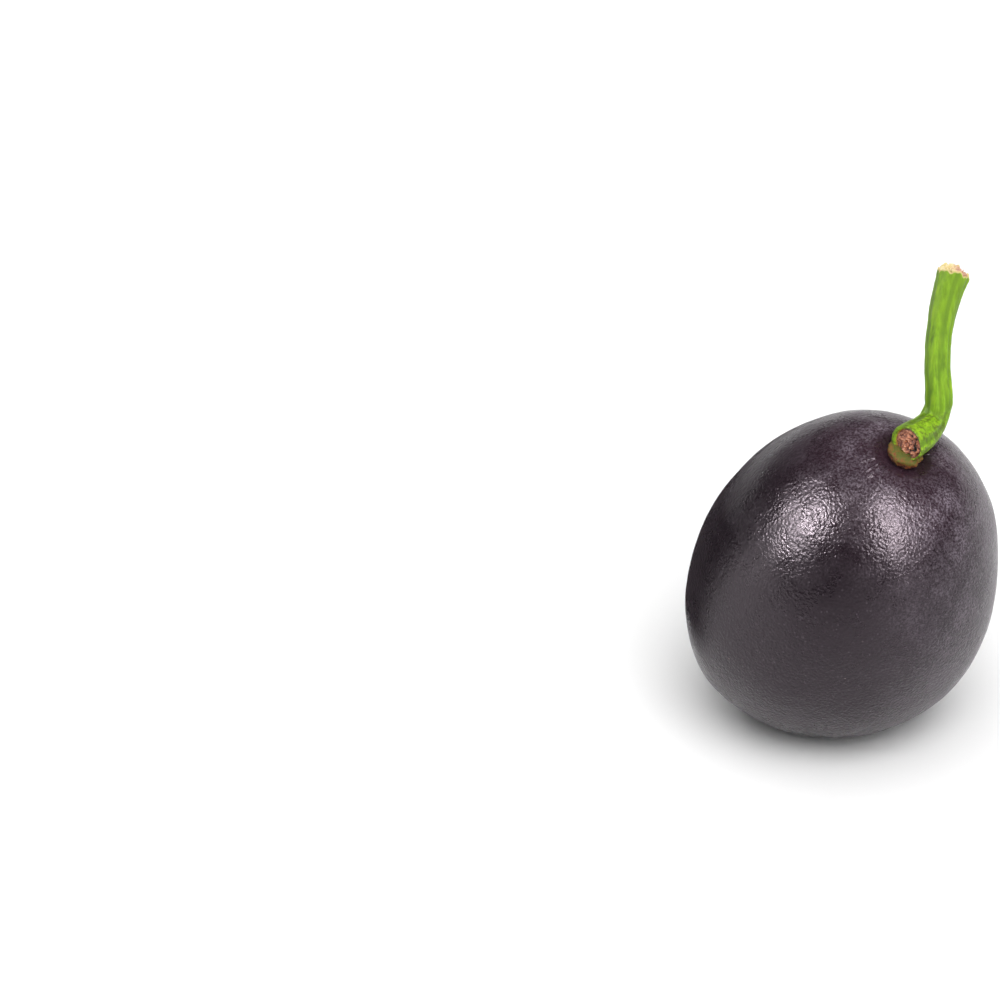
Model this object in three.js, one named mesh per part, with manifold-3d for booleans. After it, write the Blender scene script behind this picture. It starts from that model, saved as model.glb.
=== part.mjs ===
// A ripe jamun lying on the small flat spot of its skin, with a short elbow of green twig still on it.
// Millimetres, +Z up. The origin is the middle of the flat spot, on the surface that the fruit rests on.

import * as THREE from "three";
import { mergeVertices } from "three/addons/utils/BufferGeometryUtils.js";
import Module from "manifold-3d";

// Fruit: an ovoid round a leaning axis, a little longer towards the stalk than towards the tip.
const FRUIT_MIDDLE = new THREE.Vector3(-0.1, 0, 12.45);
const FRUIT_RADIUS = 12;
const MIDDLE_TO_STALK_END = 16;
const MIDDLE_TO_TIP = 13;
const STALK_END_FULLNESS = 2.05; // 2 is an ellipse, more is fuller
const TIP_FULLNESS = 2.25;
const LEAN_TO_RIGHT = 19; // degrees
const LEAN_TO_FRONT = 11;

// Broad, low swellings that make the fruit uneven: direction in degrees from +X and above the level,
// height at the top of the swelling, and the angle over which it fades.
const SWELLINGS = [
  { azimuth: 168, elevation: 16, height: 0.2, spread: 26 },
  { azimuth: 201, elevation: -27, height: 0.65, spread: 25 },
  { azimuth: -21, elevation: -27, height: 0.65, spread: 26 },
  { azimuth: 30, elevation: 35, height: 0.5, spread: 22 },
  { azimuth: 256, elevation: -54, height: -0.2, spread: 24 },
];

// Hollow round the stalk, the small calyx scar at the tip, and the flat spot underneath.
const STALK_HOLLOW = { depth: 0.9, radius: 2.1 };
const CALYX_SCAR = { depth: 0.3, radius: 1.4 };
const FLAT_SPOT_EDGE = 0.25; // height over which the skin rounds off into the flat spot

const FRUIT_SIDES = 56;
const FRUIT_RINGS = 40;
const RING_CROWDING = 0.5; // 0 spaces the rings evenly, and towards 1 they crowd at both ends

// Twig: its middle line from the broken stub, over the elbow, to the torn top, and its radius there.
// Places are measured from the fruit's middle.
const TWIG_STATIONS = [
  { at: [5.3, -3.6, 16.05], radius: 1.5 },
  { at: [6.1, -2.6, 15.95], radius: 1.45 },
  { at: [6.85, -1.4, 15.85], radius: 1.3 },
  { at: [7.4, -0.4, 16.0], radius: 1.15 },
  { at: [7.8, 0.1, 16.95], radius: 1.12 },
  { at: [7.9, 0.2, 18.15], radius: 1.12 },
  { at: [7.8, 0.55, 20.6], radius: 1.04 },
  { at: [7.95, 1.2, 23.75], radius: 1.02 },
  { at: [8.6, 2.1, 26.95], radius: 1.18 },
  { at: [9.05, 2.6, 28.35], radius: 1.32 },
];
const TWIG_STEPS = 36;
const TWIG_ARC_SEGMENTS = 10; // per half turn
const TORN_TOP_DEPTH = 0.35;

// Receptacle: a small cup on the fruit's axis that joins the stub to the fruit.
// Heights are along the axis from the fruit's middle, and the lowest clears the hollow by 0.3 mm.
const RECEPTACLE_PROFILE = [
  { radius: 0, height: 15.46 },
  { radius: 0.9, height: 15.52 },
  { radius: 1.35, height: 15.68 },
  { radius: 1.6, height: 15.85 },
  { radius: 1.65, height: 16.1 },
  { radius: 1.45, height: 16.3 },
  { radius: 0, height: 16.6 },
];
const RECEPTACLE_SIDES = 24;

const SKIN = { color: 0x2e2430, roughness: 0.38, metalness: 0 };
const GREEN_TWIG = { color: 0x86a83a, roughness: 0.6, metalness: 0 };

const wasm = await Module();
wasm.setup();

const radians = THREE.MathUtils.degToRad;

function leaningAxis() {
  const x = Math.sin(radians(LEAN_TO_RIGHT));
  const y = -Math.sin(radians(LEAN_TO_FRONT));
  return new THREE.Vector3(x, y, Math.sqrt(1 - x * x - y * y));
}

const FRUIT_AXIS = leaningAxis();
const UPRIGHT_TO_AXIS = new THREE.Quaternion().setFromUnitVectors(new THREE.Vector3(0, 1, 0), FRUIT_AXIS);

// three.js shapes carry a separate vertex for each normal and uv. This leaves one vertex per corner.
function weld(geometry) {
  geometry.deleteAttribute("normal");
  geometry.deleteAttribute("uv");
  return mergeVertices(geometry);
}

function moveVertices(geometry, move) {
  const position = geometry.attributes.position;
  const vertex = new THREE.Vector3();
  for (let i = 0; i < position.count; i += 1) {
    move(vertex.fromBufferAttribute(position, i));
    position.setXYZ(i, vertex.x, vertex.y, vertex.z);
  }
  geometry.computeVertexNormals();
  return geometry;
}

function directionOf(azimuth, elevation) {
  const level = Math.cos(radians(elevation));
  const x = level * Math.cos(radians(azimuth));
  const y = level * Math.sin(radians(azimuth));
  return new THREE.Vector3(x, y, Math.sin(radians(elevation)));
}

function swellingHeight(direction) {
  let height = 0;
  for (const swelling of SWELLINGS) {
    const closeness = direction.dot(directionOf(swelling.azimuth, swelling.elevation)) - 1;
    height += swelling.height * Math.exp(closeness / radians(swelling.spread) ** 2);
  }
  return height;
}

// A flat-bottomed dip with a soft brim, at a distance from its middle.
function dip(hollow, distance) {
  return hollow.depth / (1 + (distance / hollow.radius) ** 4);
}

// The ovoid's surface at an angle from the stalk end, as a distance from the axis and a height along it.
function ovoidSection(angle) {
  const towardsStalk = angle < Math.PI / 2;
  const length = towardsStalk ? MIDDLE_TO_STALK_END : MIDDLE_TO_TIP;
  const power = 2 / (towardsStalk ? STALK_END_FULLNESS : TIP_FULLNESS);
  const radius = FRUIT_RADIUS * Math.abs(Math.sin(angle)) ** power;
  const height = length * Math.sign(Math.cos(angle)) * Math.abs(Math.cos(angle)) ** power;
  const hollow = towardsStalk ? dip(STALK_HOLLOW, radius) : -dip(CALYX_SCAR, radius);
  return { radius, height: height - hollow };
}

// Below the surface that the fruit rests on, the skin is pressed flat, with a rounded edge.
function pressedFlat(z) {
  if (z <= -FLAT_SPOT_EDGE) {
    return 0;
  }
  return z < FLAT_SPOT_EDGE ? (z + FLAT_SPOT_EDGE) ** 2 / (4 * FLAT_SPOT_EDGE) : z;
}

function fruitGeometry() {
  const sphere = weld(new THREE.SphereGeometry(1, FRUIT_SIDES, FRUIT_RINGS));
  return moveVertices(sphere, (vertex) => {
    const evenAngle = Math.acos(THREE.MathUtils.clamp(vertex.y, -1, 1));
    const angle = evenAngle - (RING_CROWDING / 2) * Math.sin(2 * evenAngle);
    const section = ovoidSection(angle);
    const around = Math.atan2(vertex.z, vertex.x);
    vertex.set(section.radius * Math.cos(around), section.height, section.radius * Math.sin(around));
    vertex.applyQuaternion(UPRIGHT_TO_AXIS);
    const direction = vertex.clone().normalize();
    vertex.addScaledVector(direction, swellingHeight(direction)).add(FRUIT_MIDDLE);
    vertex.z = pressedFlat(vertex.z);
  });
}

// Radius between stations, at a place on the curve from 0 to 1.
function twigRadius(place) {
  const along = place * (TWIG_STATIONS.length - 1);
  const first = Math.min(Math.floor(along), TWIG_STATIONS.length - 2);
  const here = TWIG_STATIONS[first].radius;
  const next = TWIG_STATIONS[first + 1].radius;
  return THREE.MathUtils.lerp(here, next, along - first);
}

function twigGeometry() {
  const stations = TWIG_STATIONS.map((station) => new THREE.Vector3(...station.at));
  const middleLine = new THREE.CatmullRomCurve3(stations);
  const unitCircle = new THREE.Shape();
  unitCircle.absarc(0, 0, 1, 0, 2 * Math.PI);
  const options = {
    steps: TWIG_STEPS,
    curveSegments: TWIG_ARC_SEGMENTS,
    bevelEnabled: false,
    extrudePath: middleLine,
  };
  const sweep = weld(new THREE.ExtrudeGeometry(unitCircle, options));
  const middles = middleLine.getSpacedPoints(TWIG_STEPS);
  const topDirection = middleLine.getTangentAt(1);
  return moveVertices(sweep, (vertex) => {
    const distances = middles.map((middle) => middle.distanceTo(vertex));
    const step = distances.indexOf(Math.min(...distances));
    const outward = vertex.clone().sub(middles[step]);
    const place = middleLine.getUtoTmapping(step / TWIG_STEPS);
    vertex.copy(middles[step]).addScaledVector(outward, twigRadius(place));
    if (step === TWIG_STEPS) {
      const around = Math.atan2(outward.y, outward.x);
      const tear = 0.6 * Math.cos(around) + 0.4 * Math.sin(5 * around);
      vertex.addScaledVector(topDirection, TORN_TOP_DEPTH * tear);
    }
  });
}

function receptacleGeometry() {
  const profile = RECEPTACLE_PROFILE.map((point) => new THREE.Vector2(point.radius, point.height));
  const cup = weld(new THREE.LatheGeometry(profile, RECEPTACLE_SIDES));
  return cup.applyQuaternion(UPRIGHT_TO_AXIS);
}

function solidOf(geometry) {
  const vertProperties = new Float32Array(geometry.attributes.position.array);
  const triVerts = new Uint32Array(geometry.index.array);
  return new wasm.Manifold(new wasm.Mesh({ numProp: 3, vertProperties, triVerts }));
}

function geometryOf(solid) {
  const mesh = solid.getMesh();
  const geometry = new THREE.BufferGeometry();
  geometry.setAttribute("position", new THREE.BufferAttribute(mesh.vertProperties, 3));
  geometry.setIndex(new THREE.BufferAttribute(mesh.triVerts, 1));
  geometry.computeVertexNormals();
  return geometry;
}

function namedMesh(name, geometry, finish) {
  const mesh = new THREE.Mesh(geometry, new THREE.MeshStandardMaterial(finish));
  mesh.name = name;
  return mesh;
}

const stalk = solidOf(twigGeometry()).add(solidOf(receptacleGeometry()));
const stalkMesh = namedMesh("stalk", geometryOf(stalk), GREEN_TWIG);
stalkMesh.position.copy(FRUIT_MIDDLE);

const jamun = new THREE.Group();
jamun.add(namedMesh("fruit", fruitGeometry(), SKIN), stalkMesh);

export default jamun;
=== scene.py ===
"""A ripe jamun at rest on a pale floor: dark waxy fruit, and the short green elbow of twig it hung from."""

import math

import bpy
import numpy as np
from mathutils import Matrix, Vector


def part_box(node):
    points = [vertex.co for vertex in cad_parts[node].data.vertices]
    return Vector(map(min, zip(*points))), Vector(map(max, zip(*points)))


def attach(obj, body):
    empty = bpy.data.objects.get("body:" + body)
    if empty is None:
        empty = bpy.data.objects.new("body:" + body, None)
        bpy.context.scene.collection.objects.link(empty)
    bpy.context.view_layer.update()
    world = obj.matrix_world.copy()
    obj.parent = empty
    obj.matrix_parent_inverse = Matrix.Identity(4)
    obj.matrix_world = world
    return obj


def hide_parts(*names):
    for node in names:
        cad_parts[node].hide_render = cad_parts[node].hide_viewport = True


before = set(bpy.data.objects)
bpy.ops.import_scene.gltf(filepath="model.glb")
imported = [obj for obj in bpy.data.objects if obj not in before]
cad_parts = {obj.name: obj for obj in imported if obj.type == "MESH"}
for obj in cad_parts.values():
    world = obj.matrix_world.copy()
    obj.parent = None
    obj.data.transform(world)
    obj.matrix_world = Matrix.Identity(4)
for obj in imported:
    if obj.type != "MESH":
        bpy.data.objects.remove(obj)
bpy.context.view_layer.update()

# ---------------------------------------------------------------- sizes
# All lengths are in millimetres of the design and become metres with MM, which comes from the frame.
FRUIT_HEIGHT = 27.98
fruit_low, fruit_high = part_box("fruit")
MM = (fruit_high.z - fruit_low.z) / FRUIT_HEIGHT

FRUIT_MIDDLE = np.array([-0.1, 0.0, 12.45])
FRUIT_RADIUS = 12.0
MIDDLE_TO_STALK_END = 16.0
MIDDLE_TO_TIP = 13.0
STALK_END_FULLNESS = 2.05
TIP_FULLNESS = 2.25
LEAN_TO_RIGHT = 19.0
LEAN_TO_FRONT = 11.0
SWELLINGS = [  # azimuth, elevation, height, spread
    (168, 16, 0.2, 26),
    (201, -27, 0.65, 25),
    (-21, -27, 0.65, 26),
    (30, 35, 0.5, 22),
    (256, -54, -0.2, 24),
]
STALK_HOLLOW = (0.9, 2.1)  # depth, radius
CALYX_SCAR = (0.3, 1.4)
FLAT_SPOT_EDGE = 0.25
FRUIT_SIDES = 384
FRUIT_RINGS = 248
RING_CROWDING = 0.5

# Twig: middle line from the broken stub, over the elbow, to the torn top, from the fruit's middle.
TWIG_STATIONS = [
    ((5.3, -3.6, 16.05), 1.5),
    ((6.1, -2.6, 15.95), 1.45),
    ((6.85, -1.4, 15.85), 1.3),
    ((7.4, -0.4, 16.0), 1.15),
    ((7.8, 0.1, 16.95), 1.12),
    ((7.9, 0.2, 18.15), 1.12),
    ((7.8, 0.55, 20.6), 1.04),
    ((7.95, 1.2, 23.75), 1.02),
    ((8.6, 2.1, 26.95), 1.18),
    ((9.05, 2.6, 28.35), 1.32),
]
TWIG_SIDES = 144
TWIG_STEPS = 340

# Room light: how bright the room is at its dimmest and brightest, and towards where it is brightest.
ROOM_DIM = 0.06
ROOM_BRIGHT = 2.3
ROOM_BRIGHT_WAY = (0.0, 0.45, 0.89)
# Studio: the white wall and its brightness, the floor, and the black flag at the left of the fruit.
BACKDROP = 1.1
WALL_RADIUS = 520
WALL_HEIGHT = 700
FLOOR_HALF_WIDTH = 3000
FLAG_AZIMUTHS = (-84, -176)
FLAG_DISTANCE = 21
FLAG_HEIGHTS = (0.3, 20)

# Camera: where it looks from, and where the fruit's middle stands in the frame.
CAMERA_ELEVATION = 35.0
CAMERA_DISTANCE = 400.0
CAMERA_LENS = 174.0
SENSOR = 36.0
FRUIT_IN_FRAME = (0.3404, -0.0815)  # from the frame's centre, as a share of its width


# ---------------------------------------------------------------- shape helpers
def unit(vector):
    vector = np.asarray(vector, float)
    return vector / np.linalg.norm(vector, axis=-1, keepdims=True)


def direction_of(azimuth, elevation):
    azimuth, elevation = math.radians(azimuth), math.radians(elevation)
    level = math.cos(elevation)
    return np.array([level * math.cos(azimuth), level * math.sin(azimuth), math.sin(elevation)])


def leaning_axis():
    x, y = math.sin(math.radians(LEAN_TO_RIGHT)), -math.sin(math.radians(LEAN_TO_FRONT))
    return np.array([x, y, math.sqrt(1 - x * x - y * y)])


AXIS = leaning_axis()
ACROSS = unit(np.cross([0, 1, 0], AXIS))
BESIDE = np.cross(AXIS, ACROSS)


def from_axis(radius, around, height):
    """Points in the frame of the fruit's middle, from a distance from the axis, an angle and a height."""
    radius, around, height = np.broadcast_arrays(radius, around, height)
    flat = np.cos(around)[..., None] * ACROSS + np.sin(around)[..., None] * BESIDE
    return radius[..., None] * flat + height[..., None] * AXIS


def waves(points, length, count, seed):
    """Smooth random undulation between about -1 and 1: a sum of waves of about the given length."""
    draw = np.random.default_rng(seed)
    total = np.zeros(points.shape[:-1])
    for _ in range(count):
        way = unit(draw.normal(size=3))
        step = 2 * math.pi / (length * draw.uniform(0.7, 1.5))
        total += np.cos(points @ way * step + draw.uniform(0, 2 * math.pi))
    return total * math.sqrt(2 / count)


def smooth_step(low, high, value):
    t = np.clip((value - low) / (high - low), 0, 1)
    return t * t * (3 - 2 * t)


def bell(value, middle, width):
    return np.exp(-(((value - middle) / width) ** 2))


def build_mesh(name, points, faces, attributes=None, smooth=True):
    """A mesh object from design millimetres round the fruit's middle."""
    mesh = bpy.data.meshes.new(name)
    placed = (points + FRUIT_MIDDLE) * MM
    mesh.from_pydata(placed.tolist(), [], faces)
    mesh.validate()
    for key, values in (attributes or {}).items():
        layer = mesh.attributes.new(key, "FLOAT", "POINT")
        layer.data.foreach_set("value", np.asarray(values, np.float32).ravel())
    mesh.polygons.foreach_set("use_smooth", [smooth] * len(mesh.polygons))
    mesh.update()
    thing = bpy.data.objects.new(name, mesh)
    bpy.context.scene.collection.objects.link(thing)
    return thing


def grid_faces(rows, columns, start=0, close=True):
    """Quads between rows of vertices; with close, each row's last vertex joins its first."""
    faces = []
    span = columns if close else columns - 1
    for row in range(rows - 1):
        here, above = start + row * columns, start + (row + 1) * columns
        for column in range(span):
            after = (column + 1) % columns
            faces.append((here + column, here + after, above + after, above + column))
    return faces


# ---------------------------------------------------------------- fruit
def dip(hollow, distance):
    depth, radius = hollow
    return depth / (1 + (distance / radius) ** 4)


def swelling_height(direction):
    height = np.zeros(direction.shape[:-1])
    for azimuth, elevation, rise, spread in SWELLINGS:
        closeness = direction @ direction_of(azimuth, elevation) - 1
        height += rise * np.exp(closeness / math.radians(spread) ** 2)
    return height


def pressed_flat(z):
    edge = FLAT_SPOT_EDGE
    rounded = (z + edge) ** 2 / (4 * edge)
    return np.where(z <= -edge, 0, np.where(z < edge, rounded, z))


def fruit_points(angle, around, relief=True):
    """The skin at an angle from the stalk end and an angle round the axis."""
    to_stalk = angle < math.pi / 2
    length = np.where(to_stalk, MIDDLE_TO_STALK_END, MIDDLE_TO_TIP)
    power = 2 / np.where(to_stalk, STALK_END_FULLNESS, TIP_FULLNESS)
    radius = FRUIT_RADIUS * np.abs(np.sin(angle)) ** power
    height = length * np.sign(np.cos(angle)) * np.abs(np.cos(angle)) ** power
    height = height - np.where(to_stalk, dip(STALK_HOLLOW, radius), -dip(CALYX_SCAR, radius))
    points = from_axis(radius, around, height)
    direction = unit(points)
    rise = swelling_height(direction)
    if relief:
        rise = rise + skin_relief(points, radius, around, to_stalk)
    points = points + direction * rise[..., None]
    z = pressed_flat(points[..., 2] + FRUIT_MIDDLE[2]) - FRUIT_MIDDLE[2]
    return np.concatenate([points[..., :2], z[..., None]], -1), radius, to_stalk


def skin_relief(points, radius, around, to_stalk):
    """Uneven flesh under the skin, and the puckers drawn in round the stalk."""
    uneven = 0.045 * waves(points, 9, 24, 11) + 0.007 * waves(points, 3.2, 40, 12)
    fine = 0.003 * waves(points, 1.1, 50, 13)
    drift = 0.25 * waves(points, 4, 16, 14)
    puckers = np.zeros(radius.shape)
    for folds, depth, phase in ((13, 0.6, 0.4), (19, 0.8, 2.0), (29, 0.7, 4.1), (43, 0.5, 5.3)):
        puckers += depth * np.cos(folds * (around + drift / 6) + phase)
    reach = np.where(to_stalk, np.exp(-((np.log(np.maximum(radius, 0.05) / 2.5) / 0.34) ** 2)), 0)
    patchy = 0.55 + 0.45 * waves(points, 5, 12, 15)
    left = 0.35 + 0.9 * smooth_step(-1.5, 2.5, 4.5 - points[..., 0])
    ring = np.where(to_stalk, 0.035 * np.cos(5.2 * radius + 1.5 * drift) * bell(radius, 2.6, 1.1), 0)
    scar_ring = np.where(to_stalk, 0, 0.12 * bell(radius, 1.5, 0.22))
    return uneven + fine + 0.12 * puckers * reach * patchy * left + ring + scar_ring


def make_fruit():
    rings = np.arange(1, FRUIT_RINGS) * math.pi / FRUIT_RINGS
    rings = rings - RING_CROWDING / 2 * np.sin(2 * rings)
    around = np.arange(FRUIT_SIDES) * 2 * math.pi / FRUIT_SIDES
    angle, around = np.meshgrid(rings, around, indexing="ij")
    ends = np.array([0.0, math.pi])
    middle, radius, to_stalk = fruit_points(angle, around)
    poles, _, _ = fruit_points(ends, np.zeros(2))
    points = np.concatenate([middle.reshape(-1, 3), poles])
    stalk_pole, tip_pole = len(points) - 2, len(points) - 1
    # wound so that the faces point out
    faces = [quad[::-1] for quad in grid_faces(FRUIT_RINGS - 1, FRUIT_SIDES)]
    last = (FRUIT_RINGS - 2) * FRUIT_SIDES
    for side in range(FRUIT_SIDES):
        after = (side + 1) % FRUIT_SIDES
        faces.append((stalk_pole, side, after))
        faces.append((tip_pole, last + after, last + side))
    from_stalk = np.where(to_stalk, radius, 99).ravel()
    from_tip = np.where(to_stalk, 99, radius).ravel()
    attributes = {
        "from_stalk": np.append(from_stalk, [0, 99]),
        "from_tip": np.append(from_tip, [99, 0]),
    }
    return build_mesh("fruit_skin", points, faces, attributes)


# ---------------------------------------------------------------- twig
def catmull_rom(points, count):
    """Evenly spaced points on the centripetal curve through points, with their places in station numbers."""
    points = np.asarray(points, float)
    ends = [2 * points[0] - points[1]], [2 * points[-1] - points[-2]]
    padded = np.concatenate([ends[0], points, ends[1]])
    dense, places = [], []
    for i in range(len(points) - 1):
        p0, p1, p2, p3 = padded[i : i + 4]
        t0 = 0.0
        t1 = t0 + np.linalg.norm(p1 - p0) ** 0.5
        t2 = t1 + np.linalg.norm(p2 - p1) ** 0.5
        t3 = t2 + np.linalg.norm(p3 - p2) ** 0.5
        for share in np.linspace(0, 1, 60, endpoint=i == len(points) - 2):
            t = t1 + (t2 - t1) * share
            a1 = (t1 - t) / (t1 - t0) * p0 + (t - t0) / (t1 - t0) * p1
            a2 = (t2 - t) / (t2 - t1) * p1 + (t - t1) / (t2 - t1) * p2
            a3 = (t3 - t) / (t3 - t2) * p2 + (t - t2) / (t3 - t2) * p3
            b1 = (t2 - t) / (t2 - t0) * a1 + (t - t0) / (t2 - t0) * a2
            b2 = (t3 - t) / (t3 - t1) * a2 + (t - t1) / (t3 - t1) * a3
            dense.append((t2 - t) / (t2 - t1) * b1 + (t - t1) / (t2 - t1) * b2)
            places.append(i + share)
    dense, places = np.array(dense), np.array(places)
    run = np.append(0, np.cumsum(np.linalg.norm(np.diff(dense, axis=0), axis=1)))
    even = np.linspace(0, run[-1], count)
    line = np.stack([np.interp(even, run, dense[:, k]) for k in range(3)], -1)
    return line, np.interp(even, run, places), even


def carried_frames(line, first_side):
    """Tangents and two side directions along a line, turned as little as the bends allow."""
    tangents = unit(np.gradient(line, axis=0))
    sides = []
    side = np.asarray(first_side, float)
    for tangent in tangents:
        side = unit(side - (side @ tangent) * tangent)
        sides.append(side)
    sides = np.array(sides)
    return tangents, sides, np.cross(tangents, sides)


STATION_POINTS = np.array([station[0] for station in TWIG_STATIONS])
STATION_RADII = np.array([station[1] for station in TWIG_STATIONS])
LINE, PLACES, RUN = catmull_rom(STATION_POINTS, TWIG_STEPS)
TANGENTS, SIDES, UPS = carried_frames(LINE, (0.2, -0.9, 0.6))
STUB_LEFT = math.atan2(-UPS[0][0], -SIDES[0][0])


def stub_rim(turn):
    """Width of the bark round the broken face, widest on the left."""
    return 0.12 + 0.42 * (0.5 + 0.5 * np.cos(turn - STUB_LEFT)) ** 1.5



def twig_radius(place):
    smooth = np.interp(place, range(len(STATION_RADII)), STATION_RADII)
    kernel = np.hanning(25)
    padded = np.pad(smooth, 12, mode="edge")
    return np.convolve(padded, kernel / kernel.sum(), mode="valid")


def twig_ribs(around, run):
    """Lengthwise ridges and furrows of a drying green twig."""
    twist = 0.035 * run
    ribs = 0.35 * np.cos(3 * (around + twist) + 0.8) + 0.5 * np.cos(5 * (around + twist) + 2.1)
    ribs += 0.45 * np.cos(8 * (around - 0.5 * twist) + 0.3) + 0.3 * np.cos(13 * (around + twist) + 4.0)
    return ribs


def make_twig():
    around = np.arange(TWIG_SIDES) * 2 * math.pi / TWIG_SIDES
    run, turn = np.meshgrid(RUN, around, indexing="ij")
    radius = twig_radius(PLACES)[:, None] + 0.0 * turn
    outward = np.cos(turn)[..., None] * SIDES[:, None] + np.sin(turn)[..., None] * UPS[:, None]
    surface = LINE[:, None] + radius[..., None] * outward
    total = RUN[-1]
    calm = smooth_step(0, 1.2, run) * 0.6 + 0.4
    rise = 0.06 * twig_ribs(turn, run) * calm
    rise += 0.012 * waves(surface, 2.6, 24, 21) + 0.006 * waves(surface, 0.8, 40, 22)
    # a knuckle at the elbow
    elbow = bell(run, 5.2, 0.8)
    rise += 0.05 * elbow * waves(surface, 1.6, 20, 23)
    surface = surface + rise[..., None] * outward
    # the torn top: bark that ends unevenly
    torn = smooth_step(total - 1.6, total, run)
    ragged = 0.22 * np.cos(turn * 2 + 0.6) + 0.10 * np.cos(turn * 7 + 1.0) + 0.06 * np.cos(turn * 15)
    surface = surface + (torn * ragged)[..., None] * TANGENTS[:, None]
    # the broken stub: a rolled rim round a sunken face
    lip_depths = [(0.2, -0.05), (0.45, -0.05), (0.75, -0.01), (0.92, 0.06), (1.0, 0.25)]
    rows = []
    for inward, back in lip_depths[::-1]:
        rows.append(surface[0] - inward * stub_rim(turn[0])[:, None] * outward[0] + back * TANGENTS[0])
    top_rows = []
    for inward, back in [(0.05, 0.02), (0.10, -0.04), (0.13, -0.2), (0.15, -0.5)]:
        top_rows.append(surface[-1] - inward * outward[-1] + back * TANGENTS[-1])
    points = np.concatenate([np.array(rows), surface, np.array(top_rows)])
    lip = np.zeros((len(rows), TWIG_SIDES))
    top = np.ones((len(top_rows), TWIG_SIDES))
    run_rows = np.concatenate([lip, run, total * top])
    lip_shades = np.repeat(np.array([[1.0], [0.95], [0.5], [0.25], [0.35]]), TWIG_SIDES, 1)
    edge_rows = np.concatenate([lip_shades, 0.4 * (1 - smooth_step(0, 0.35, run)), 0 * top])
    top_edge = np.concatenate([lip, smooth_step(total - 0.3, total, run), top])
    all_turn = np.concatenate([np.repeat(turn[:1], len(rows), 0), turn, np.repeat(turn[:1], len(top_rows), 0)])
    ribs = twig_ribs(all_turn, run_rows)
    attributes = {"run": run_rows, "stub_edge": edge_rows, "top_edge": top_edge, "ribs": ribs}
    faces = grid_faces(len(points), TWIG_SIDES)
    return build_mesh("twig", points.reshape(-1, 3), faces, attributes)


def make_disc(name, centre, normal, side, radii, heights, attributes=None):
    """A round face from rings: radii and heights are arrays of ring by side."""
    other = np.cross(normal, side)
    rings, sides = radii.shape
    turn = np.arange(sides) * 2 * math.pi / sides
    flat = np.cos(turn)[:, None] * side + np.sin(turn)[:, None] * other
    points = centre + radii[..., None] * flat[None] + heights[..., None] * normal
    points = points.reshape(-1, 3)
    middle = centre + heights[0].mean() * normal
    points = np.vstack([points, middle])
    faces = grid_faces(rings, sides)
    faces += [(len(points) - 1, (side_index + 1) % sides, side_index)[::-1] for side_index in range(sides)]
    return build_mesh(name, points, faces, attributes)


def make_stub_face():
    rings, sides = 60, 180
    share = np.linspace(0.02, 1, rings)
    turn = np.arange(sides) * 2 * math.pi / sides
    share, turn = np.meshgrid(share, turn, indexing="ij")
    # the disc faces the other way along the line, so its turn runs backwards
    radius = share * (STATION_RADII[0] - 0.88 * stub_rim(-turn))
    flat = np.stack([radius * np.cos(turn), radius * np.sin(turn), 0 * turn], -1)
    crumbs = 0.06 * waves(flat, 0.45, 40, 31) + 0.035 * waves(flat, 0.2, 60, 32)
    dome = 0.12 * (1 - share**2)
    crack_at = 0.62 + 0.05 * waves(flat, 0.6, 12, 33)
    crack = bell(share, crack_at, 0.05) * smooth_step(0.15, 0.5, np.cos(turn - 5.6))
    rim = smooth_step(0.86, 1.0, share)
    heights = -0.10 + dome + crumbs * (1 - 0.5 * rim) - 0.28 * crack
    attributes = {
        "share": np.append(share.ravel(), 0),
        "crack": np.append(crack.ravel(), 0),
        "height": np.append((crumbs - 0.2 * crack).ravel(), 0),
    }
    return make_disc("stub_face", LINE[0], -TANGENTS[0], SIDES[0], radius, heights, attributes)


def make_torn_top():
    rings, sides = 56, 160
    share = np.linspace(0.02, 1, rings)
    turn = np.arange(sides) * 2 * math.pi / sides
    share, turn = np.meshgrid(share, turn, indexing="ij")
    radius = share * (STATION_RADII[-1] - 0.08)
    flat = np.stack([radius * np.cos(turn), radius * np.sin(turn), 0 * turn], -1)
    fibres = waves(flat, 0.28, 60, 41)
    steps = 0.16 * np.tanh(2.2 * fibres) + 0.05 * waves(flat, 0.12, 60, 42)
    ragged = 0.22 * np.cos(turn * 2 + 0.6) * share
    heights = steps * (0.5 + 0.7 * share) + ragged - 0.10
    attributes = {
        "height": np.append(steps.ravel(), 0),
    }
    return make_disc("torn_top", LINE[-1], TANGENTS[-1], SIDES[-1], radius, heights, attributes)


def make_receptacle():
    profile = [(0.5, 14.85), (0.8, 14.95), (1.05, 15.2), (1.32, 15.55), (1.48, 15.85), (1.46, 16.08),
               (1.2, 16.3), (0.5, 16.4)]
    sides = 160
    line, _, _ = catmull_rom([(r, h, 0) for r, h in profile], 60)
    turn = np.arange(sides) * 2 * math.pi / sides
    radius = line[:, 0][:, None] + 0 * turn
    height = line[:, 1][:, None] + 0 * turn
    around = turn[None] + 0 * radius
    points = from_axis(radius, around, height)
    bulge = smooth_step(0.8, 1.5, radius)
    lumps = 0.06 * waves(points, 1.4, 24, 51) + 0.03 * waves(points, 0.5, 40, 52)
    points = points + (lumps * bulge)[..., None] * unit(points - height[..., None] * AXIS)
    level = (height - 15.2) / 1.1
    attributes = {"level": level}
    return build_mesh("receptacle", points.reshape(-1, 3), grid_faces(60, sides), attributes)


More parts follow.
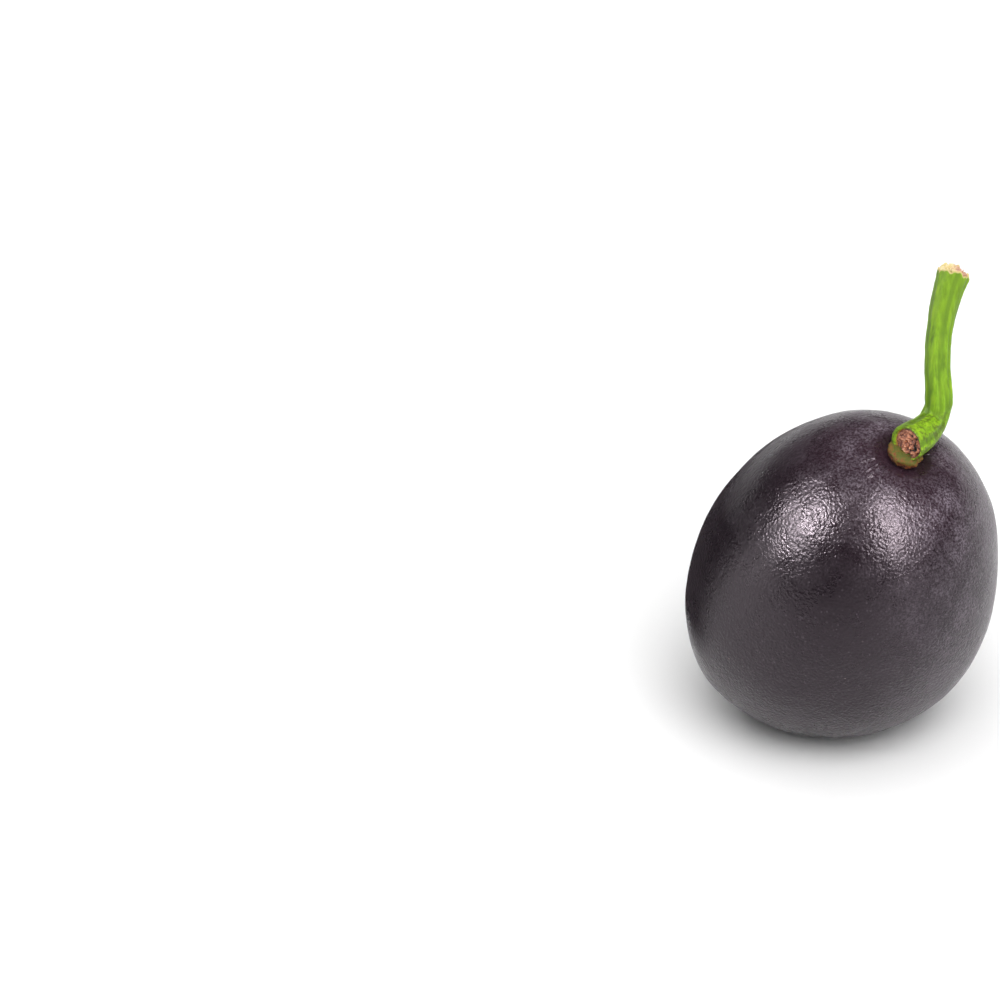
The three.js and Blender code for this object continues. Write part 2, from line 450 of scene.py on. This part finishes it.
# ---------------------------------------------------------------- materials
class Paint:
    """Builds a node material; every method returns an output socket."""

    def __init__(self, name):
        self.material = bpy.data.materials.new(name)
        self.material.use_nodes = True
        self.tree = self.material.node_tree
        self.shader = self.tree.nodes["Principled BSDF"]
        self.place = self.node("ShaderNodeTexCoord").outputs["Object"]

    def node(self, kind, **settings):
        made = self.tree.nodes.new(kind)
        for key, value in settings.items():
            setattr(made, key, value)
        return made

    def feed(self, socket, value):
        if isinstance(value, bpy.types.NodeSocket):
            self.tree.links.new(value, socket)
        elif isinstance(value, tuple) and len(value) == 3 and socket.type == "RGBA":
            socket.default_value = (*value, 1)
        else:
            socket.default_value = value

    def set(self, **inputs):
        for key, value in inputs.items():
            self.feed(self.shader.inputs[key.replace("_", " ")], value)

    def place_x(self):
        made = self.node("ShaderNodeSeparateXYZ")
        self.feed(made.inputs[0], self.place)
        return made.outputs["X"]

    def attribute(self, name):
        return self.node("ShaderNodeAttribute", attribute_name=name).outputs["Fac"]

    def noise(self, size, detail=2, roughness=0.5, vector=None, distortion=0):
        """Noise whose features are about size millimetres across."""
        made = self.node("ShaderNodeTexNoise")
        self.feed(made.inputs["Vector"], vector or self.place)
        settings = {"Scale": 1 / (size * MM), "Detail": detail, "Roughness": roughness, "Distortion": distortion}
        for key, value in settings.items():
            self.feed(made.inputs[key], value)
        return made.outputs["Fac"]

    def cells(self, size, feature="F1", vector=None, randomness=1.0, output="Distance"):
        made = self.node("ShaderNodeTexVoronoi", feature=feature)
        self.feed(made.inputs["Vector"], vector or self.place)
        self.feed(made.inputs["Scale"], 1 / (size * MM))
        self.feed(made.inputs["Randomness"], randomness)
        return made.outputs[output]

    def math(self, operation, first, second=0.0, clamp=False):
        made = self.node("ShaderNodeMath", operation=operation, use_clamp=clamp)
        self.feed(made.inputs[0], first)
        self.feed(made.inputs[1], second)
        return made.outputs[0]

    def spread(self, value, low, high, to_low=0.0, to_high=1.0):
        made = self.node("ShaderNodeMapRange", interpolation_type="SMOOTHSTEP")
        settings = {"Value": value, "From Min": low, "From Max": high, "To Min": to_low, "To Max": to_high}
        for key, item in settings.items():
            self.feed(made.inputs[key], item)
        return made.outputs["Result"]

    def mix(self, share, first, second, blend="MIX"):
        made = self.node("ShaderNodeMix", data_type="RGBA", blend_type=blend)
        self.feed(made.inputs[0], share)
        self.feed(made.inputs[6], first)
        self.feed(made.inputs[7], second)
        return made.outputs[2]

    def ramp(self, value, *stops):
        made = self.node("ShaderNodeValToRGB")
        elements = made.color_ramp.elements
        while len(elements) < len(stops):
            elements.new(0.5)
        for element, (position, colour) in zip(elements, stops):
            element.position = position
            element.color = (*colour, 1)
        self.feed(made.inputs[0], value)
        return made.outputs[0]

    def stretched(self, along, across_scale):
        """Object coordinates squeezed along a direction, for fibres."""
        made = self.node("ShaderNodeMapping")
        self.feed(made.inputs["Vector"], self.place)
        self.feed(made.inputs["Scale"], (across_scale, across_scale, along))
        return made.outputs[0]

    def bump(self, height, depth, strength=1.0, under=None):
        made = self.node("ShaderNodeBump")
        self.feed(made.inputs["Height"], height)
        self.feed(made.inputs["Distance"], depth * MM)
        self.feed(made.inputs["Strength"], strength)
        if under is not None:
            self.feed(made.inputs["Normal"], under)
        return made.outputs[0]


def skin_material():
    p = Paint("jamun_skin")
    broad = p.noise(7.0, 3)
    patch = p.noise(2.2, 4, 0.6)
    grain = p.noise(0.17, 3, 0.65)
    pores = p.cells(0.28)
    near_stalk = p.spread(p.attribute("from_stalk"), 1.5, 11.0, 1.0, 0.0)
    # aubergine, warmer and redder towards the stalk
    warm = p.math("MULTIPLY", near_stalk, p.spread(broad, 0.3, 0.7, 0.55, 1.0))
    colour = p.mix(warm, (0.0062, 0.0032, 0.0055), (0.027, 0.0085, 0.016))
    # waxy bloom, thin and patchy, broken by the grain; laid on thicker on the right side and round the stalk,
    # partly the fruit's own bloom and partly painted sheen, and thinned in the hollow round the stalk as painted
    # shade
    bloom = p.math("MULTIPLY", p.spread(patch, 0.35, 0.75, 0.25, 1.0), p.spread(grain, 0.42, 0.62, 0.1, 1.9))
    # painted sheen: extra pale bloom on the right side of the fruit and round the stalk
    right_painted_sheen = p.spread(p.place_x(), 1 * MM, 11 * MM, 0.0, 0.18)
    share = p.math("ADD", p.math("ADD", right_painted_sheen, 0.007), p.math("MULTIPLY", near_stalk, 0.34))
    # painted shade: the pale bloom fades out in the hollow round the stalk, so the skin is painted darker there
    painted_pit_shade = p.spread(p.attribute("from_stalk"), 1.9, 3.6, 0.1, 1.0)
    bloom = p.math("MULTIPLY", bloom, painted_pit_shade)
    colour = p.mix(p.math("MULTIPLY", bloom, share), colour, (0.30, 0.25, 0.30))
    # tiny pale grains all over: partly waxy grains, partly painted glints
    dots = p.spread(p.cells(0.42), 0.1, 0.3, 1.0, 0.0)
    grains_and_painted_glints = p.math("MULTIPLY", dots, p.spread(p.noise(1.2, 2), 0.35, 0.65))
    colour = p.mix(p.math("MULTIPLY", grains_and_painted_glints, 0.10), colour, (0.30, 0.25, 0.30))
    # pale specks
    speck_size = p.cells(1.5)
    flecks = p.spread(speck_size, 0.03, 0.07, 1.0, 0.0)
    specks = p.math("MULTIPLY", flecks, p.spread(p.noise(3.0, 2), 0.5, 0.6))
    colour = p.mix(p.math("MULTIPLY", specks, 0.35), colour, (0.34, 0.25, 0.25))
    # the dead brown ring of the calyx scar
    scar = p.spread(p.attribute("from_tip"), 1.2, 1.9, 1.0, 0.0)
    colour = p.mix(scar, colour, (0.06, 0.035, 0.025))
    roughness = p.math("ADD", p.spread(patch, 0.3, 0.7, 0.24, 0.33), p.math("MULTIPLY", scar, 0.3))
    pebbles = p.math("ADD", p.math("MULTIPLY", pores, -0.6), p.noise(0.21, 2, 0.6))
    normal = p.bump(p.noise(0.9, 2), 0.02, 0.6)
    normal = p.bump(pebbles, 0.045, 1.0, normal)
    p.set(Base_Color=colour, Roughness=roughness, Normal=normal)
    p.set(IOR=1.40, Specular_Tint=(1.0, 0.86, 0.95))
    p.set(Sheen_Weight=0.04, Sheen_Roughness=0.5, Sheen_Tint=(0.85, 0.68, 0.80))
    return p.material


def twig_material():
    p = Paint("green_twig")
    fibre = p.noise(0.35, 3, 0.6, vector=p.stretched(0.12, 1.0))
    mottle = p.noise(0.4, 4, 0.65)
    broad = p.noise(2.5, 2)
    greens = (0.28, (0.085, 0.17, 0.002)), (0.5, (0.20, 0.38, 0.006)), (0.75, (0.34, 0.52, 0.022))
    colour = p.ramp(fibre, *greens)
    colour = p.mix(p.spread(broad, 0.35, 0.7, 0.0, 0.5), colour, (0.27, 0.47, 0.008))
    # painted shade: the furrows between the ribs are painted a darker green
    furrow_painted_shade = p.spread(p.attribute("ribs"), -0.9, 0.3, 0.75, 0.0)
    colour = p.mix(furrow_painted_shade, colour, (0.09, 0.19, 0.003))
    colour = p.mix(p.spread(p.attribute("run"), 9, 15, 0.0, 0.4), colour, (0.13, 0.24, 0.003))
    elbow = p.math("SUBTRACT", 1.0, p.spread(p.attribute("run"), 3.2, 6.5), True)
    mottled = p.math("ADD", p.math("MULTIPLY", elbow, 0.7), 0.06)
    dark = p.math("MULTIPLY", p.spread(mottle, 0.45, 0.62), mottled)
    colour = p.mix(dark, colour, (0.075, 0.10, 0.008))
    edge = p.spread(p.attribute("stub_edge"), 0.3, 0.9)
    colour = p.mix(edge, colour, (0.30, 0.13, 0.02))
    top = p.spread(p.attribute("top_edge"), 0.4, 1.0)
    colour = p.mix(top, colour, (0.62, 0.50, 0.20))
    normal = p.bump(fibre, 0.09, 0.9)
    normal = p.bump(p.noise(0.16, 2), 0.015, 0.8, normal)
    p.set(Base_Color=colour, Roughness=0.55, Normal=normal)
    p.set(IOR=1.45, Specular_IOR_Level=0.25, Subsurface_Weight=0.06, Subsurface_Scale=0.3 * MM)
    p.shader.inputs["Subsurface Radius"].default_value = (0.6, 1.0, 0.2)
    return p.material


def stub_material():
    p = Paint("broken_wood")
    crumbs = p.noise(0.18, 4, 0.7)
    # the broken wood's colour follows the height of its crumbs, darker in the pits and paler on the crests:
    # partly its own mottling, partly painted shade and painted highlight
    height = p.math("ADD", p.math("MULTIPLY", p.attribute("height"), 1.5), crumbs)
    wood_tones_and_painted_light = (0.22, (0.045, 0.010, 0.005)), (0.42, (0.26, 0.065, 0.022)), (0.62, (0.46, 0.15, 0.06))
    colour = p.ramp(height, *wood_tones_and_painted_light, (0.95, (0.66, 0.34, 0.18)))
    colour = p.mix(p.spread(p.attribute("share"), 0.86, 0.97), colour, (0.13, 0.035, 0.008))
    # painted shade: the crack is painted near black for the shade inside it
    colour = p.mix(p.spread(p.attribute("crack"), 0.2, 0.7), colour, (0.012, 0.006, 0.004))
    p.set(Base_Color=colour, Roughness=0.75, Normal=p.bump(crumbs, 0.05, 1.0))
    return p.material


def pith_material():
    p = Paint("torn_pith")
    crumbs = p.noise(0.15, 4, 0.7)
    height = p.math("ADD", p.math("MULTIPLY", p.attribute("height"), 2.2), crumbs)
    wood = p.ramp(height, (0.2, (0.13, 0.035, 0.015)), (0.5, (0.38, 0.13, 0.07)), (0.85, (0.62, 0.36, 0.24)))
    pith = p.ramp(height, (0.2, (0.36, 0.24, 0.05)), (0.6, (0.70, 0.55, 0.22)), (0.9, (0.76, 0.65, 0.37)))
    across = p.math("ADD", p.place_x(), p.math("MULTIPLY", p.noise(0.6, 2), 1.2 * MM))
    side = p.spread(across, 9.35 * MM, 9.95 * MM, 1.0, 0.0)
    p.set(Base_Color=p.mix(side, wood, pith), Roughness=0.7, Normal=p.bump(crumbs, 0.05, 1.0))
    return p.material


def receptacle_material():
    p = Paint("receptacle_skin")
    crumbs = p.noise(0.25, 3, 0.6)
    level = p.math("ADD", p.attribute("level"), p.math("MULTIPLY", p.math("SUBTRACT", crumbs, 0.62), 2.4))
    # darker towards the bottom, where the collar meets the skin: partly its own brown, partly painted shade in
    # that crease
    browns_and_painted_shade = (0.0, (0.05, 0.008, 0.003)), (0.25, (0.20, 0.05, 0.008)), (0.45, (0.16, 0.085, 0.009))
    colour = p.ramp(level, *browns_and_painted_shade, (0.8, (0.085, 0.095, 0.006)))
    p.set(Base_Color=colour, Roughness=0.8, Specular_IOR_Level=0.2, Normal=p.bump(crumbs, 0.08, 1.0))
    return p.material


def plain_material(name, colour, roughness):
    p = Paint(name)
    p.set(Base_Color=colour, Roughness=roughness)
    return p.material


def floor_material():
    """White paper that glows a little more away from the object, so that it meets the white wall unseen."""
    p = Paint("pale_floor")
    made = p.node("ShaderNodeVectorMath", operation="LENGTH")
    p.feed(made.inputs[0], p.place)
    glow = p.spread(made.outputs["Value"], 60 * MM, 420 * MM, 0.0, 0.6)
    p.set(Base_Color=(0.9, 0.9, 0.9), Roughness=0.6, Emission_Color=(1.0, 1.0, 1.0), Emission_Strength=glow)
    return p.material


# ---------------------------------------------------------------- the object
def dress(piece, material, slot, *nodes):
    piece.data.materials.append(material)
    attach(piece, "root")
    if nodes:
        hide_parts(*nodes)


dress(make_fruit(), skin_material(), "skin", "fruit")
dress(make_twig(), twig_material(), "stalk", "stalk")
dress(make_stub_face(), stub_material(), "stalk")
dress(make_torn_top(), pith_material(), "stalk")
dress(make_receptacle(), receptacle_material(), "stalk")


# ---------------------------------------------------------------- floor and light
def make_floor():
    half = FLOOR_HALF_WIDTH * MM
    mesh = bpy.data.meshes.new("floor")
    corners = [(-half, -half, 0), (half, -half, 0), (half, half, 0), (-half, half, 0)]
    mesh.from_pydata(corners, [], [(0, 1, 2, 3)])
    floor = bpy.data.objects.new("floor", mesh)
    bpy.context.scene.collection.objects.link(floor)
    mesh.materials.append(floor_material())


def make_white_wall():
    """A round white studio wall, lit evenly, seen only by the camera, behind the floor."""
    points, sides = [], 96
    for side in range(sides):
        angle = side * 2 * math.pi / sides
        x, y = WALL_RADIUS * math.cos(angle) * MM, WALL_RADIUS * math.sin(angle) * MM
        points += [(x, y, -1 * MM), (x, y, WALL_HEIGHT * MM)]
    count = 2 * sides
    faces = [(2 * i, 2 * i + 1, (2 * i + 3) % count, (2 * i + 2) % count) for i in range(sides)]
    mesh = bpy.data.meshes.new("white_wall")
    mesh.from_pydata(points, [], faces)
    paper = plain_material("lit_paper", (0.0, 0.0, 0.0), 1.0)
    shader = paper.node_tree.nodes["Principled BSDF"]
    shader.inputs["Emission Color"].default_value = (1, 1, 1, 1)
    shader.inputs["Emission Strength"].default_value = BACKDROP
    mesh.materials.append(paper)
    wall = bpy.data.objects.new("white_wall", mesh)
    wall.visible_diffuse = False
    wall.visible_glossy = False
    wall.visible_transmission = False
    wall.visible_shadow = False
    bpy.context.scene.collection.objects.link(wall)


def make_softbox(name, azimuth, elevation, distance, size, power):
    """A soft light that shines at the fruit. Azimuth 0 is the camera's side and 90 is to its right."""
    azimuth, elevation = math.radians(azimuth), math.radians(elevation)
    level = math.cos(elevation)
    way = Vector((math.sin(azimuth) * level, -math.cos(azimuth) * level, math.sin(elevation)))
    data = bpy.data.lights.new(name, "AREA")
    data.shape = "RECTANGLE"
    data.size, data.size_y = size[0] * MM, size[1] * MM
    data.energy = power
    light = bpy.data.objects.new(name, data)
    aim = Vector((0, 0, 13 * MM))
    light.location = aim + way * distance * MM
    light.rotation_euler = (-way).to_track_quat("-Z", "Y").to_euler()
    bpy.context.scene.collection.objects.link(light)
    return light


def make_black_flag():
    """A curved black studio flag beside the fruit, which only the gloss of its skin shows."""
    first, last = (math.radians(angle) for angle in FLAG_AZIMUTHS)
    points, steps = [], 24
    for azimuth in np.linspace(first, last, steps):
        x, y = FLAG_DISTANCE * math.sin(azimuth) * MM, -FLAG_DISTANCE * math.cos(azimuth) * MM
        points += [(x, y, FLAG_HEIGHTS[0] * MM), (x, y, FLAG_HEIGHTS[1] * MM)]
    faces = [(2 * i, 2 * i + 2, 2 * i + 3, 2 * i + 1) for i in range(steps - 1)]
    mesh = bpy.data.meshes.new("black_flag")
    mesh.from_pydata(points, [], faces)
    mesh.materials.append(plain_material("black_cloth", (0.012, 0.010, 0.012), 0.9))
    flag = bpy.data.objects.new("black_flag", mesh)
    flag.visible_camera = False
    flag.visible_diffuse = False
    flag.visible_shadow = False
    bpy.context.scene.collection.objects.link(flag)


def make_world():
    """A dim room with a soft bright ceiling and back wall."""
    world = bpy.data.worlds.new("studio")
    world.use_nodes = True
    tree = world.node_tree
    background = tree.nodes["Background"]
    direction = tree.nodes.new("ShaderNodeTexCoord").outputs["Generated"]
    towards = tree.nodes.new("ShaderNodeVectorMath")
    towards.operation = "DOT_PRODUCT"
    towards.inputs[1].default_value = ROOM_BRIGHT_WAY
    tree.links.new(direction, towards.inputs[0])
    room = tree.nodes.new("ShaderNodeMapRange")
    room.interpolation_type = "SMOOTHSTEP"
    for key, value in (("From Min", 0.1), ("From Max", 0.95), ("To Min", ROOM_DIM), ("To Max", ROOM_BRIGHT)):
        room.inputs[key].default_value = value
    tree.links.new(towards.outputs["Value"], room.inputs["Value"])
    tree.links.new(room.outputs[0], background.inputs["Strength"])
    bpy.context.scene.world = world


def make_camera():
    """Looks at the fruit from the front and above, with the fruit where FRUIT_IN_FRAME puts it."""
    tilt = math.radians(CAMERA_ELEVATION)
    right = Vector((1, 0, 0))
    up = Vector((0, math.sin(tilt), math.cos(tilt)))
    back = Vector((0, -math.cos(tilt), math.sin(tilt)))
    level = Matrix((right, up, back)).transposed()
    reach = CAMERA_LENS / SENSOR
    to_fruit = Vector((*FRUIT_IN_FRAME, -reach)).normalized()
    turn = to_fruit.rotation_difference(Vector((0, 0, -1))).to_matrix()
    data = bpy.data.cameras.new("camera")
    data.lens = CAMERA_LENS
    data.sensor_width = SENSOR
    data.clip_start, data.clip_end = 0.01, 20
    camera = bpy.data.objects.new("camera", data)
    middle = Vector(FRUIT_MIDDLE) * MM
    camera.matrix_world = Matrix.Translation(middle + back * CAMERA_DISTANCE * MM) @ (level @ turn).to_4x4()
    bpy.context.scene.collection.objects.link(camera)
    bpy.context.scene.camera = camera


make_floor()
make_white_wall()
make_world()
make_softbox("left_softbox", -65, 36, 1200, (190, 210), 27).visible_diffuse = False
make_softbox("left_strip", -78, 6, 600, (110, 200), 0.45).visible_diffuse = False
make_softbox("right_softbox", 36, 40, 1200, (200, 800), 33).visible_diffuse = False
make_softbox("key_fill", 25, 50, 1500, (1300, 1300), 18).visible_glossy = False
make_softbox("ceiling_light", 0, 86, 1500, (2600, 2600), 38).visible_glossy = False
make_black_flag()
make_camera()
bpy.context.scene.view_settings.view_transform = "Standard"
